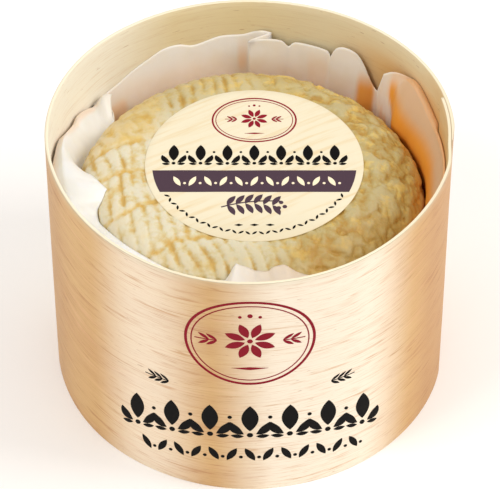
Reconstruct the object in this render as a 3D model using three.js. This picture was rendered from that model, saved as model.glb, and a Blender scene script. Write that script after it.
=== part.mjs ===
// A small soft cheese in its own round box of bent veneer, without the lid:
// the box wall with its lapped seam, the base disc, the pleated paper round the
// cheese, the ridged cheese and the round label on top of it.
// Millimetres, +Z up, the box standing on z = 0 with its axis on the Z axis.
// Angles are degrees from +X towards +Y; the front of the box faces -Y.
import * as THREE from "three";

// Box wall
const boxRadius = 42.5;
const boxHeight = 63.3;
const veneer = 0.8;
const lapOuterEnd = -3; // angle where the outer end of the strip stops
const lapInnerEnd = 15; // angle where the inner end of the strip stops
const lapRamp = 11; // degrees over which the strip climbs onto itself
const lapStep = 0.12; // degrees taken by a cut end
const rimOval = -0.24; // the rim is a little out of round: two-lobed part
const rimLobes = 0.48; // and three-lobed part
const rimFade = 1.5; // power with which this fades towards the base
const wallSides = 96;
const wallLevels = [0, 0.42, 0.75, 1];

// Base disc
const baseThickness = 2.5;
const baseGap = 0.3;

// Cheese
const cheeseRadius = 36;
const cheeseBottom = 3.5;
const cheeseTop = 53.9;
const shoulder = 12.5; // radius of the rounding between side and top
const shoulderSpan = [6, 84]; // degrees of the rounding that the rings lie on
const shoulderSteps = 11;
const footRound = 6;
const footSpan = [-90, -6];
const footSteps = 3;
const sideRings = [0.3, 0.6, 0.85]; // shares of the height of the side
const sideRelief = 0.3; // share of the relief that the side has
const sideBulge = 0.35;
const flatRadius = 23.9;
const restDip = 0.6; // how far the flat under the label lies below the shoulder's top
const cheeseSides = 168;

// Outline of the cheese: two gentle waves around it, all of it drawn in a little
const outlineWaves = [
  { count: 2, height: 0.28, start: 40 },
  { count: 5, height: 0.22, start: 0 },
];
const outlineDraw = 0.35;
const outlineFade = [15, 35]; // radii between which the waves grow

// Relief of the rind: rows of short ridges on the left, wrinkles on the right
const rowTilt = 17; // direction of the rows
const rowGrooves = [-17, -5.2, 5.6, 14.3]; // where the rows part, across that direction
const rowWander = 0.6; // how far a groove strays
const rowWave = 0.35; // radians for each millimetre
const rowShift = 1.9; // radians by which each row is out of step with the one before
const ridgePitch = 2.65;
const ridgeHeight = 0.75;
const ridgeSwing = 0.5;
const ridgeLean = 0.2;
const grooveDepth = 0.55;
const grooveBlend = 0.6; // share of a ridge that a groove takes away
const wrinklePitch = 3.6;
const wrinkleHeight = 0.25;
const wrinkleSink = 0.42;
const wrinkleTwist = 1.7;
const wrinkleWave = 0.55;
const reliefChange = [-6, 8]; // x between which ridges give way to wrinkles
const reliefRise = 0.28; // the relief never stands higher than this above the smooth form

// Paper
const paperThickness = 0.4;
const paperBottom = 2.8;
const paperFootRadius = 31;
const paperCorner = [35.6, 5]; // radius and height halfway round the foot
const paperSideStart = 11.8;
const paperSnug = 37.1; // radius at which it hugs the side of the cheese
const paperClear = 0.9; // distance from the smooth cheese to the middle of a flap
const uprightRings = [0, 0.35, 0.65, 0.8, 0.9, 0.96, 1]; // shares of the upright height
const widenFrom = 0.55; // share of that height where it starts to widen
const crestRadius = 37.9; // where the front flap turns inwards
const crestHeight = 53.2;
const crestRound = 0.7;
const crestDrop = 2.2;
const flapSwell = 0.5; // how much the middle of a flap stands up
const paperSides = 96;

// The free edge of the upright paper: angle, radius at the edge, depth below the
// rim, and radius low down. Two entries close together are the step of a pleat.
const paperEdge = [
  [-50, 38.4, 13.5, 38.2],
  [-28, 38.4, 12.5, 38.6],
  [-8, 38.5, 10, 39],
  [2, 39.6, 9, 39.4],
  [13, 40, 8.8, 39.6],
  [20, 40.2, 8, 39.6],
  [33, 40.4, 6.4, 39.4],
  [41, 40, 7, 38.6],
  [44, 39.2, 11, 38],
  [47.5, 38.4, 15, 37.4],
  [51, 39.4, 11.5, 37.4],
  [54, 40.2, 7.8, 37.4],
  [63, 40.3, 8.6, 37.2],
  [64.5, 39.9, 11, 37.2],
  [66, 40.2, 9.4, 37.2],
  [76, 40.3, 9.8, 37.2],
  [77.5, 40.3, 10.8, 37.2],
  [83, 40.2, 9.3, 37.2],
  [84.5, 39.9, 7.8, 37.2],
  [89.4, 39.2, 8.2, 37],
  [90.8, 40.4, 8.6, 37.6],
  [107, 40.5, 10.2, 37.6],
  [116, 40.5, 9.2, 37.6],
  [128, 40.5, 11.8, 37.6],
  [138.4, 40.3, 13.6, 37.6],
  [140.2, 39.3, 11.8, 37],
  [148, 39.8, 12, 37],
  [155, 40.2, 9.8, 37],
  [159, 40.3, 11, 37],
  [165, 40.3, 9, 37],
  [172, 40.2, 8, 37],
  [180, 39.6, 8, 37],
  [190, 39.3, 8, 37],
];

// The free edge of the front flap: angle, and how far round the shoulder it reaches
const flapEdge = [
  [180, 30],
  [190.7, 58.8],
  [198, 44],
  [203, 45],
  [211, 50.5],
  [224, 55],
  [238, 56],
  [244, 52.5],
  [261, 54],
  [264.3, 71],
  [269.3, 67],
  [275.6, 63],
  [280, 67],
  [284, 67],
  [289, 56.5],
  [296.6, 48],
  [303.4, 50],
  [312, 36],
  [322, 22],
];
const flapStart = [180, 192]; // angles over which the upright paper becomes a flap
const flapEnd = [306, 324]; // and over which it becomes upright again

// Label
const labelRadius = 22.75;
const labelCentre = [0.9, 0.25];
const labelTop = 54.3;
const labelThickness = 0.5;
const labelSides = 64;

const turn = (angle) => (angle * Math.PI) / 180;
const mix = (a, b, share) => a + (b - a) * share;
const clamp01 = (value) => Math.min(1, Math.max(0, value));
const smoothstep = (from, to, value) => {
  const share = clamp01((value - from) / (to - from));
  return share * share * (3 - 2 * share);
};
const wrapTo = (start, angle) => start + ((((angle - start) % 360) + 360) % 360);

// Straight lines between the rows of a table that is sorted by angle and goes round once
function fromTable(table, angle, column) {
  const at = wrapTo(table[0][0], angle);
  for (let i = 0; i < table.length; i++) {
    const here = table[i];
    const next = table[(i + 1) % table.length];
    const end = i + 1 < table.length ? next[0] : next[0] + 360;
    if (at <= end || i + 1 === table.length) {
      return mix(here[column], next[column], (at - here[0]) / (end - here[0]));
    }
  }
}

// Even angles round the axis, with extra ones where the shape steps
function anglesAround(count, extra) {
  const even = Array.from({ length: count }, (_, i) => (i * 360) / count);
  const steps = extra.map((angle) => wrapTo(0, angle));
  const room = 90 / count;
  const kept = even.filter((angle) => steps.every((step) => Math.abs(step - angle) > room));
  return [...kept, ...steps].sort((a, b) => a - b);
}

// A closed body from outlines that stand around the axis, one at each angle.
// A ring's outline closes on itself; otherwise it starts and ends on the axis.
// From the outline point turnAt on, each four-sided patch is split the other way,
// so that the two faces of a thin sheet are split alike.
function bodyAround(angles, outlineAt, { ring = false, turnAt = Infinity } = {}) {
  const outlines = angles.map(outlineAt);
  const length = outlines[0].length;
  const first = ring ? 0 : 1;
  const rows = ring ? length : length - 2;
  const positions = [];
  outlines.forEach((outline) => {
    outline.slice(first, first + rows).forEach((point) => positions.push(...point));
  });
  const index = [];
  const count = angles.length;
  const vertex = (column, row) => (column % count) * rows + (row % rows);
  const lastRow = ring ? rows : rows - 1;
  for (let column = 0; column < count; column++) {
    for (let row = 0; row < lastRow; row++) {
      const a = vertex(column, row);
      const b = vertex(column + 1, row);
      const c = vertex(column + 1, row + 1);
      const d = vertex(column, row + 1);
      if (row + first < turnAt) index.push(a, b, c, a, c, d);
      else index.push(a, b, d, b, c, d);
    }
  }
  if (!ring) {
    const start = positions.length / 3;
    positions.push(...outlines[0][0], ...outlines[0][length - 1]);
    for (let column = 0; column < count; column++) {
      index.push(start, vertex(column + 1, 0), vertex(column, 0));
      index.push(start + 1, vertex(column, rows - 1), vertex(column + 1, rows - 1));
    }
  }
  const geometry = new THREE.BufferGeometry();
  geometry.setAttribute("position", new THREE.Float32BufferAttribute(positions, 3));
  geometry.setIndex(index);
  geometry.computeVertexNormals();
  return geometry;
}

const pointAt = (angle, radius, z) => [
  radius * Math.cos(turn(angle)),
  radius * Math.sin(turn(angle)),
  z,
];

// How far the wall stands out of round at an angle and a height
function outOfRound(angle, z) {
  const fade = Math.pow(clamp01(z / boxHeight), rimFade);
  return fade * (rimOval * Math.cos(turn(2 * angle)) + rimLobes * Math.sin(turn(3 * angle)));
}

// Radii of the two faces of the wall. In the lap the strip lies double; past the
// outer end the single strip comes out from under it.
function wallRadii(angle) {
  const fromOuterEnd = wrapTo(-180, angle - lapOuterEnd);
  const fromInnerEnd = wrapTo(-180, angle - lapInnerEnd);
  const under = 1 - smoothstep(0, lapRamp, -fromOuterEnd);
  const inLap = fromOuterEnd >= 0 && fromInnerEnd <= 0;
  const leaving = fromOuterEnd < 0 ? under : 0;
  return {
    outer: boxRadius - veneer * leaving,
    inner: boxRadius - veneer - veneer * (inLap ? 1 : leaving),
  };
}

const lapAngles = [
  lapOuterEnd - lapStep,
  lapOuterEnd,
  lapInnerEnd,
  lapInnerEnd + lapStep,
];

function boxWall() {
  const outline = (angle) => {
    const { outer, inner } = wallRadii(angle);
    const place = (radius) => (level) => {
      const z = boxHeight * level;
      return pointAt(angle, radius + outOfRound(angle, z), z);
    };
    return [...wallLevels.map(place(outer)), ...[...wallLevels].reverse().map(place(inner))];
  };
  return bodyAround(anglesAround(wallSides, lapAngles), outline, { ring: true });
}

function boxBase() {
  const outline = (angle) => {
    const edge = wallRadii(angle).inner - baseGap;
    return [
      [0, 0, 0],
      pointAt(angle, edge, 0),
      pointAt(angle, edge, baseThickness),
      [0, 0, baseThickness],
    ];
  };
  return bodyAround(anglesAround(wallSides, lapAngles), outline);
}

// Rows of short ridges over the left half of the cheese
function ridges(x, y) {
  const along = x * Math.cos(turn(rowTilt)) + y * Math.sin(turn(rowTilt));
  const across = y * Math.cos(turn(rowTilt)) - x * Math.sin(turn(rowTilt));
  let row = 0;
  let groove = 0;
  rowGrooves.forEach((place, i) => {
    const offset = across - place - rowWander * Math.sin(rowWave * along + 2 * i);
    if (offset > 0) row = i + 1;
    groove += Math.exp(-offset * offset);
  });
  const swing = ridgeSwing * Math.sin(rowWave * across + row) + ridgeLean * across;
  const phase = (2 * Math.PI * (along + swing)) / ridgePitch + rowShift * row;
  const dip = ridgeHeight * (0.5 * Math.cos(phase) - 0.5);
  return dip * (1 - grooveBlend * groove) - grooveDepth * groove;
}

// Worm-like wrinkles over the right half
function wrinkles(x, y) {
  const k = (2 * Math.PI) / wrinklePitch;
  const across = Math.sin(k * x + wrinkleTwist * Math.sin(wrinkleWave * y));
  const along = Math.sin(0.8 * k * y + wrinkleTwist * Math.sin(wrinkleWave * x + 1));
  return wrinkleHeight * (across + along) - wrinkleSink;
}

function relief(x, y) {
  const right = smoothstep(...reliefChange, x);
  const value = mix(ridges(x, y), wrinkles(x, y), right);
  return Math.min(0, value) + reliefRise;
}

// The smooth half section of the cheese from its foot to the flat under the label,
// each point with its normal and the share of the relief that it has
function cheeseSection() {
  const section = [];
  const addArc = (centre, radius, span, steps, share) => {
    for (let i = 0; i <= steps; i++) {
      const a = turn(mix(...span, i / steps));
      const [c, s] = [Math.cos(a), Math.sin(a)];
      section.push({ r: centre[0] + radius * c, z: centre[1] + radius * s, nr: c, nz: s, share });
    }
  };
  const footCentre = [cheeseRadius - footRound, cheeseBottom + footRound];
  const shoulderCentre = [cheeseRadius - shoulder, cheeseTop - shoulder];
  addArc(footCentre, footRound, footSpan, footSteps, 0);
  sideRings.forEach((height) => {
    const z = mix(footCentre[1], shoulderCentre[1], height);
    const r = cheeseRadius + sideBulge * Math.sin(Math.PI * height);
    section.push({ r, z, nr: 1, nz: 0, share: sideRelief });
  });
  addArc(shoulderCentre, shoulder, shoulderSpan, shoulderSteps, 1);
  section.push({ r: flatRadius, z: cheeseTop - restDip, nr: 0, nz: 1, share: 0 });
  return section;
}

function uneven(angle, radius) {
  let sum = -outlineDraw;
  outlineWaves.forEach(({ count, height, start }) => {
    sum += height * Math.sin(turn(count * angle + start));
  });
  return sum * smoothstep(...outlineFade, radius);
}

function cheese() {
  const section = cheeseSection();
  const outline = (angle) => {
    const points = section.map(({ r, z, nr, nz, share }) => {
      const [x, y] = pointAt(angle, r, z);
      const lift = share * relief(x, y);
      return pointAt(angle, r + nr * lift + uneven(angle, r), z + nz * lift);
    });
    return [[0, 0, cheeseBottom], ...points, [0, 0, cheeseTop - restDip]];
  };
  return bodyAround(anglesAround(cheeseSides, []), outline);
}

// Upright paper at an angle: it hugs the cheese low down and widens to its edge
function uprightPaper(angle) {
  const edgeRadius = fromTable(paperEdge, angle, 1);
  const edgeHeight = boxHeight - fromTable(paperEdge, angle, 2);
  const lowRadius = fromTable(paperEdge, angle, 3);
  return uprightRings.map((share) => [
    mix(lowRadius, edgeRadius, smoothstep(widenFrom, 1, share)),
    mix(paperSideStart, edgeHeight, share),
  ]);
}

// Front flap at an angle: it turns inwards over a crest and comes to rest over
// the shoulder of the cheese
function flapPaper(angle) {
  const reach = turn(fromTable(flapEdge, angle, 1));
  const around = shoulder + paperClear;
  const tip = [
    cheeseRadius - shoulder + around * Math.cos(reach),
    cheeseTop - shoulder + around * Math.sin(reach),
  ];
  return [
    [paperSnug, paperSideStart],
    [paperSnug, mix(paperSideStart, crestHeight, 0.5)],
    [paperSnug + crestRound, mix(paperSideStart, crestHeight, 0.8)],
    [crestRadius + crestRound, crestHeight - crestDrop],
    [crestRadius, crestHeight],
    [mix(crestRadius, tip[0], 0.5), mix(crestHeight, tip[1], 0.5) + flapSwell],
    tip,
  ];
}

// Middle line of the paper at an angle, from its foot to its free edge
function paperLine(angle) {
  const at = wrapTo(0, angle);
  const folded = smoothstep(...flapStart, at) * (1 - smoothstep(...flapEnd, at));
  const flap = flapPaper(angle);
  const side = uprightPaper(angle).map(([r, z], i) => [
    mix(r, flap[i][0], folded),
    mix(z, flap[i][1], folded),
  ]);
  return [[paperFootRadius, paperBottom], paperCorner, ...side];
}

// Both faces of the sheet lie half a thickness to either side of its middle line
function paperLiner() {
  const half = paperThickness / 2;
  const outline = (angle) => {
    const line = paperLine(angle);
    const normals = line.map((_, i) => {
      if (i === 0) return [0, 1];
      const before = line[i - 1];
      const after = line[Math.min(line.length - 1, i + 1)];
      const run = [after[0] - before[0], after[1] - before[1]];
      const size = Math.hypot(...run);
      return [-run[1] / size, run[0] / size];
    });
    const face = (side) =>
      line.map(([r, z], i) => {
        const [nr, nz] = normals[i];
        return pointAt(angle, r + side * half * nr, z + side * half * nz);
      });
    const [underside, upperside] = [face(-1), face(1).reverse()];
    return [[0, 0, paperBottom - half], ...underside, ...upperside, [0, 0, paperBottom + half]];
  };
  const upright = paperEdge.slice(0, -2).map(([angle]) => angle);
  const tips = flapEdge.slice(1).map(([angle]) => angle);
  const turnAt = uprightRings.length + 3;
  return bodyAround(anglesAround(paperSides, [...upright, ...tips]), outline, { turnAt });
}

function label() {
  const disc = new THREE.CylinderGeometry(labelRadius, labelRadius, labelThickness, labelSides);
  return disc.rotateX(Math.PI / 2);
}

const finish = (color, roughness) => new THREE.MeshStandardMaterial({ color, roughness, metalness: 0 });
const woodFinish = finish(0xeccfa2, 0.6);
const paperFinish = finish(0xf3ede2, 0.55);
const cheeseFinish = finish(0xe2cb97, 0.6);
const labelFinish = finish(0xf7e8c4, 0.5);

const part = new THREE.Group();

function addPiece(name, geometry, material, position = [0, 0, 0]) {
  const mesh = new THREE.Mesh(geometry, material);
  mesh.name = name;
  mesh.position.set(...position);
  part.add(mesh);
}

addPiece("box_wall", boxWall(), woodFinish);
addPiece("box_base", boxBase(), woodFinish);
addPiece("paper_liner", paperLiner(), paperFinish);
addPiece("cheese", cheese(), cheeseFinish);
addPiece("label", label(), labelFinish, [...labelCentre, labelTop - labelThickness / 2]);

export default part;
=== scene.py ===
# A small soft cheese in its round veneer box: wood, waxed paper, rind, label and print.
# Lengths are millimetres and angles degrees from +X towards +Y until a mesh is made.
import math

import bmesh
import bpy
import numpy as np
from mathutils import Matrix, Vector


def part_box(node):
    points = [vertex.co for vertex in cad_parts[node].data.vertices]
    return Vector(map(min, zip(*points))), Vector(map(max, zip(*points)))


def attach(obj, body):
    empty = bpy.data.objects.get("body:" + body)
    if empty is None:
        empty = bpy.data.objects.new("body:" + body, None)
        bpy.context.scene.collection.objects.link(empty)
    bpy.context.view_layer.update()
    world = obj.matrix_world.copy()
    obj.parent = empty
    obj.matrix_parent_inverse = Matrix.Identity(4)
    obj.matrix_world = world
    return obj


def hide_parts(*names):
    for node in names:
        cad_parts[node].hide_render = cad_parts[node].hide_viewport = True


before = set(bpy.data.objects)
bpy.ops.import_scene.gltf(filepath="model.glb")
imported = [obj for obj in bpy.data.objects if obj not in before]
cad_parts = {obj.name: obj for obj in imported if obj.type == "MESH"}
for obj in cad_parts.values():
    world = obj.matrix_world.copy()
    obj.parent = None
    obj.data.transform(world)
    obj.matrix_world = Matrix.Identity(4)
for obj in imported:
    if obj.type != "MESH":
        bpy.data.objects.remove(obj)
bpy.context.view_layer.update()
scene = bpy.context.scene
mm = 0.001


def nodeBox(name):
    low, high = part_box(name)
    return np.array(low) / mm, np.array(high) / mm


wallLow, wallHigh = nodeBox("box_wall")
labelLow, labelHigh = nodeBox("label")
boxRadius = (wallHigh[0] - wallLow[0]) / 2
boxHeight = wallHigh[2]
print("frame loaded: box", round(2 * boxRadius, 1), "across,", round(boxHeight, 1), "high")


# Small sums used all over

def mix(a, b, share):
    return a + (b - a) * share


def ramp(low, high, value):
    share = np.clip((value - low) / (high - low), 0, 1)
    return share * share * (3 - 2 * share)


# 0 before begin and after end, 1 between full and fade
def window(value, begin, full, fade, end):
    return ramp(begin, full, value) * ramp(end, fade, value)


# A value from -1 to 1, always the same for the same place and seed
def latticeValue(ix, iy, iz, seed):
    mask = 0xFFFFFFFF
    h = (ix * 73856093 ^ iy * 19349663 ^ iz * 83492791 ^ seed * 668265263) & mask
    h = ((h ^ (h >> 13)) * 1274126177) & mask
    return ((h ^ (h >> 16)) & 0xFFFF) / 32767.5 - 1


# Smooth noise, about -1 to 1, with one bump or hollow to each unit
def noise(x, y, z, seed):
    gain, seedStep = 1.9, 101
    place = np.broadcast_arrays(x, y, z)
    corner = [np.floor(c).astype(np.int64) for c in place]
    part = [c - np.floor(c) for c in place]
    ease = [p * p * p * (p * (6 * p - 15) + 10) for p in part]
    total = 0
    for step in np.ndindex(2, 2, 2):
        weight = 1
        slope = 0
        at = [corner[i] + step[i] for i in range(3)]
        for i in range(3):
            weight = weight * (ease[i] if step[i] else 1 - ease[i])
            slope = slope + (part[i] - step[i]) * latticeValue(*at, seed + seedStep * i)
        total = total + weight * slope
    return gain * total


def around(angle, radius, z):
    a = np.radians(angle)
    return np.stack(np.broadcast_arrays(radius * np.cos(a), radius * np.sin(a), z), axis=-1)


# Meshes

def addObject(name, data):
    thing = bpy.data.objects.new(name, data)
    scene.collection.objects.link(thing)
    return thing


def makePiece(name, points, faces, material, smooth=True):
    mesh = bpy.data.meshes.new(name)
    mesh.from_pydata((np.reshape(points, (-1, 3)) * mm).tolist(), [], faces)
    mesh.polygons.foreach_set("use_smooth", [smooth] * len(mesh.polygons))
    mesh.materials.append(material)
    outward = bmesh.new()
    outward.from_mesh(mesh)
    bmesh.ops.recalc_face_normals(outward, faces=outward.faces)
    outward.to_mesh(mesh)
    outward.free()
    return addObject(name, mesh)


# An attribute of one part or three on the points of a piece
def addAttribute(piece, name, *parts):
    kind, key = ("FLOAT", "value") if len(parts) == 1 else ("FLOAT_VECTOR", "vector")
    values = np.stack([np.ravel(part) for part in parts], axis=-1).astype(np.float32)
    piece.data.attributes.new(name, kind, "POINT").data.foreach_set(key, values.ravel())


def flipped(faces):
    return [tuple(reversed(face)) for face in faces]


# Faces of a grid of columns and rows; either way it can close on itself
def gridFaces(columns, rows, closed=True, closedRows=False, start=0):
    faces = []
    for c in range(columns if closed else columns - 1):
        here = start + c * rows
        there = start + (c + 1) % columns * rows
        for r in range(rows if closedRows else rows - 1):
            up = (r + 1) % rows
            faces.append((here + r, there + r, there + up, here + up))
    return faces


# Faces of a body turned round Z; its two end points follow those of the grid
def turnedFaces(columns, rows):
    faces = gridFaces(columns, rows)
    pole = columns * rows
    for c in range(columns):
        here, there = c * rows, (c + 1) % columns * rows
        faces.append((pole, there, here))
        faces.append((pole + 1, here + rows - 1, there + rows - 1))
    return faces


# Faces of a thin sheet: one side's points, then the other's, and its edges
def sheetFaces(columns, rows, closed, start=0):
    count = columns * rows
    faces = gridFaces(columns, rows, closed, start=start)
    faces += flipped(gridFaces(columns, rows, closed, start=start + count))
    grid = start + np.arange(count).reshape(columns, rows)
    if closed:
        edges = [grid[:, -1], grid[::-1, 0]]
    else:
        edges = [np.concatenate([grid[:, 0], grid[-1, 1:], grid[-2::-1, -1], grid[0, -2:0:-1]])]
    for edge in edges:
        for a, b in zip(edge.tolist(), np.roll(edge, -1).tolist()):
            faces.append((a, b, count + b, count + a))
    return faces


def addPiece(piece, slot, *nodes):
    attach(piece, "root")
    if nodes:
        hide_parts(*nodes)


# Materials. A colour is three numbers from 0 to 255, as on the screen.

def shade(colour):
    parts = [c / 255 for c in colour]
    linear = [p / 12.92 if p <= 0.04045 else ((p + 0.055) / 1.055) ** 2.4 for p in parts]
    return (*linear, 1)


# New nodes go into the material that was started last
work = {}


def startMaterial(name, settings):
    material = bpy.data.materials.new(name)
    material.use_nodes = True
    work["tree"] = material.node_tree
    work["sockets"] = material.node_tree.nodes["Principled BSDF"].inputs
    for socket, value in settings.items():
        work["sockets"][socket].default_value = value
    return material


def join(value, socket):
    if isinstance(value, bpy.types.NodeSocket):
        work["tree"].links.new(value, socket)
    else:
        socket.default_value = value


def addNode(kind, inputs=(), **settings):
    node = work["tree"].nodes.new("ShaderNode" + kind)
    for key, value in settings.items():
        setattr(node, key, value)
    for key, value in dict(inputs).items():
        join(value, node.inputs[key])
    return node


def attributeOf(name, output="Vector"):
    return addNode("Attribute", attribute_name=name).outputs[output]


def partsOf(vector):
    return addNode("SeparateXYZ", {0: vector}).outputs


def placeOf():
    return addNode("TexCoord").outputs["Object"]


def stretched(vector, scale, offset=(0, 0, 0)):
    inputs = {"Vector": vector, "Scale": scale, "Location": offset}
    return addNode("Mapping", inputs).outputs["Vector"]


def noiseOf(vector, scale=1.0, detail=2.0, roughness=0.5):
    inputs = {"Vector": vector, "Scale": scale, "Detail": detail, "Roughness": roughness}
    return addNode("TexNoise", inputs).outputs[0]


# Spreads the part of a value between low and high over 0 to 1, or over start to end
def spread(value, low, high, start=0.0, end=1.0):
    inputs = {"Value": value, "From Min": low, "From Max": high, "To Min": start, "To Max": end}
    return addNode("MapRange", inputs, interpolation_type="SMOOTHSTEP").outputs[0]


def blend(share, first, second, mode="MIX"):
    ends = [shade(end) if isinstance(end, tuple) else end for end in (first, second)]
    inputs = {0: share, 6: ends[0], 7: ends[1]}
    return addNode("Mix", inputs, data_type="RGBA", blend_type=mode).outputs[2]


def mathOf(a, b, operation="MULTIPLY"):
    return addNode("Math", {0: a, 1: b}, operation=operation).outputs[0]


def addBump(height, depth):
    bump = addNode("Bump", {"Height": height, "Distance": depth * mm, "Strength": 1.0})
    join(bump.outputs["Normal"], work["sockets"]["Normal"])


# Camera, where the photograph was taken from

camera = {
    "place": (0, -404.9, 440.8), "lookDown": 45.38,
    "lens": 193.74, "sensor": 36,
}


def addCamera():
    data = bpy.data.cameras.new("camera")
    data.sensor_width = camera["sensor"]
    data.sensor_fit = "HORIZONTAL"
    data.lens = camera["lens"]
    view = addObject("camera", data)
    view.location = Vector(camera["place"]) * mm
    view.rotation_euler = (math.radians(90 - camera["lookDown"]), 0, 0)
    scene.camera = view


# Pale floor and soft light. Azimuth runs from the camera's side towards the right.

stage = {
    "floorSize": 6000,
    "floorColour": (254, 254, 255),
    "floorShader": {"Roughness": 0.9, "Specular IOR Level": 0.1},
    "ambient": 0.72,
    "ambientColour": (255, 253, 249),
    "lights": {
        "keyBox": {
            "azimuth": 84, "elevation": 42, "distance": 620, "size": (260, 260), "power": 1.8,
            "colour": (255, 251, 245)},
        "leftBox": {
            "azimuth": -58, "elevation": 52, "distance": 620, "size": (220, 220), "power": 1.1,
            "colour": (255, 252, 248)},
    },
}


def addSoftbox(name, look):
    data = bpy.data.lights.new(name, "AREA")
    data.shape = "RECTANGLE"
    data.size = look["size"][0] * mm
    data.size_y = look["size"][1] * mm
    data.energy = look["power"]
    data.color = shade(look["colour"])[:3]
    lamp = addObject(name, data)
    azimuth = math.radians(look["azimuth"])
    elevation = math.radians(look["elevation"])
    level = math.cos(elevation)
    away = Vector((math.sin(azimuth) * level, -math.cos(azimuth) * level, math.sin(elevation)))
    target = Vector((0, 0, boxHeight / 2)) * mm
    lamp.location = target + away * look["distance"] * mm
    lamp.rotation_euler = (-away).to_track_quat("-Z", "Y").to_euler()


def addStage():
    settings = {"Base Color": shade(stage["floorColour"]), **stage["floorShader"]}
    material = startMaterial("floorFinish", settings)
    half = stage["floorSize"] / 2
    corners = [(-half, -half, 0), (half, -half, 0), (half, half, 0), (-half, half, 0)]
    floor = makePiece("studioFloor", corners, [(0, 1, 2, 3)], material, smooth=False)
    world = bpy.data.worlds.new("softRoom")
    world.use_nodes = True
    background = world.node_tree.nodes["Background"]
    background.inputs["Color"].default_value = shade(stage["ambientColour"])
    background.inputs["Strength"].default_value = stage["ambient"]
    scene.world = world
    for name, look in stage["lights"].items():
        addSoftbox(name, look)
    scene.view_settings.view_transform = "Standard"


# Veneer: fine streaks. Attribute "strip": length along the strip, height on it, depth.

veneer = {
    "thickness": 0.7,
    "shader": {"Roughness": 0.5, "Specular IOR Level": 0.5},
    # the pale cream here is a painted sheen highlight for the outer face
    "tan": (212, 171, 112), "cream": (255, 243, 224),
    "deep": (203, 157, 101), "pink": (226, 178, 134),
    # the first colour here is painted shade for the darker edges of the outer face
    "shadeTan": (192, 144, 92), "line": (214, 176, 136),
    "speck": (168, 122, 84),
    # painted highlight for the rim's top, and a painted dark line of edge shade
    "rim": (243, 233, 208), "rimShadeLine": (168, 158, 128),
    # the second colour here is painted light for the inner face
    "inside": (230, 217, 170), "insideLitColour": (250, 248, 238),
    # painted warm shade for the inner face on the right
    "warmShade": (222, 166, 84),
    "wander": ((0.02, 0.05, 0.1), 5.0),  # how the streaks stray: scale, height
    # noises on the strip: scale along, up and through it, offset, detail, roughness
    "noises": {
        "figure": ((0.012, 0.11, 0.2), (0, 0, 0), 3.0, 0.6),
        "streak": ((0.045, 0.9, 0.4), (7, 0, 0), 4.0, 0.62),
        "fibre": ((0.15, 4.0, 2.0), (0, 0, 0), 3.0, 0.65),
        "ring": ((0.022, 0.55, 0.3), (0, 31, 0), 3.0, 0.55),
        "fade": ((0.09, 0.5, 0.3), (11, 4, 0), 2.0, 0.5),
        "speck": ((0.36, 2.6, 1.0), (3, 9, 0), 1.0, 0.5),
    },
    # the part of each noise that shows, then its share at both ends of that part
    "shows": {
        "figure": (0.35, 0.7, 0.0, 1.0),
        "streak": (0.5, 0.75, 0.0, 0.5),
        "fibre": (0.5, 0.72, 0.0, 0.55),
        "fade": (0.42, 0.68, 0.05, 0.7),
        "speck": (0.72, 0.8, 0.0, 0.6),
    },
    "insideFigure": 0.2,  # share of the outer colours left inside
    "litFigure": 0.12,  # and in the zones of painted light
    "ringWidth": 0.03,
    "calmInside": 0.35,
    "bump": 0.035,
    # painted sheen, light and shade in soft zones round the wall: azimuth of the middle, half the level
    # width, reach, strength
    "paintedSheenOutside": ((-30, 2, 21, 0.72), (21, 12, 33, 1.0), (150, 10, 45, 0.5), (-130, 10, 40, 0.6)),
    "paintedShadeOutside": ((76, 12, 27, 0.85), (100, 10, 30, 0.4), (-82, 8, 24, 0.5)),
    "paintedLightInside": ((84, 33, 72, 1.0), (22, 5, 40, 0.2), (-40, 15, 60, 0.3)),
    "paintedWarmShadeInside": ((-66, 16, 46, 0.75),),
    "paintedWarmShadeHigh": ((-80, 8, 24, 0.36),),
    "warmShadeLevels": (61, 54.5),  # faint at the first height, full at the second
    "warmShadeAbove": 0.04,
    # painted highlight along the rim's top, with a painted line of edge shade at its outer edge
    "rimBand": (0.2, 0.06),  # depth below the top, faint and full
    "rimShare": 0.8,
    "rimShadeLineDepth": (0.16, 0.02),
    "rimShadeLineShare": 0.75,
}


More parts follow.
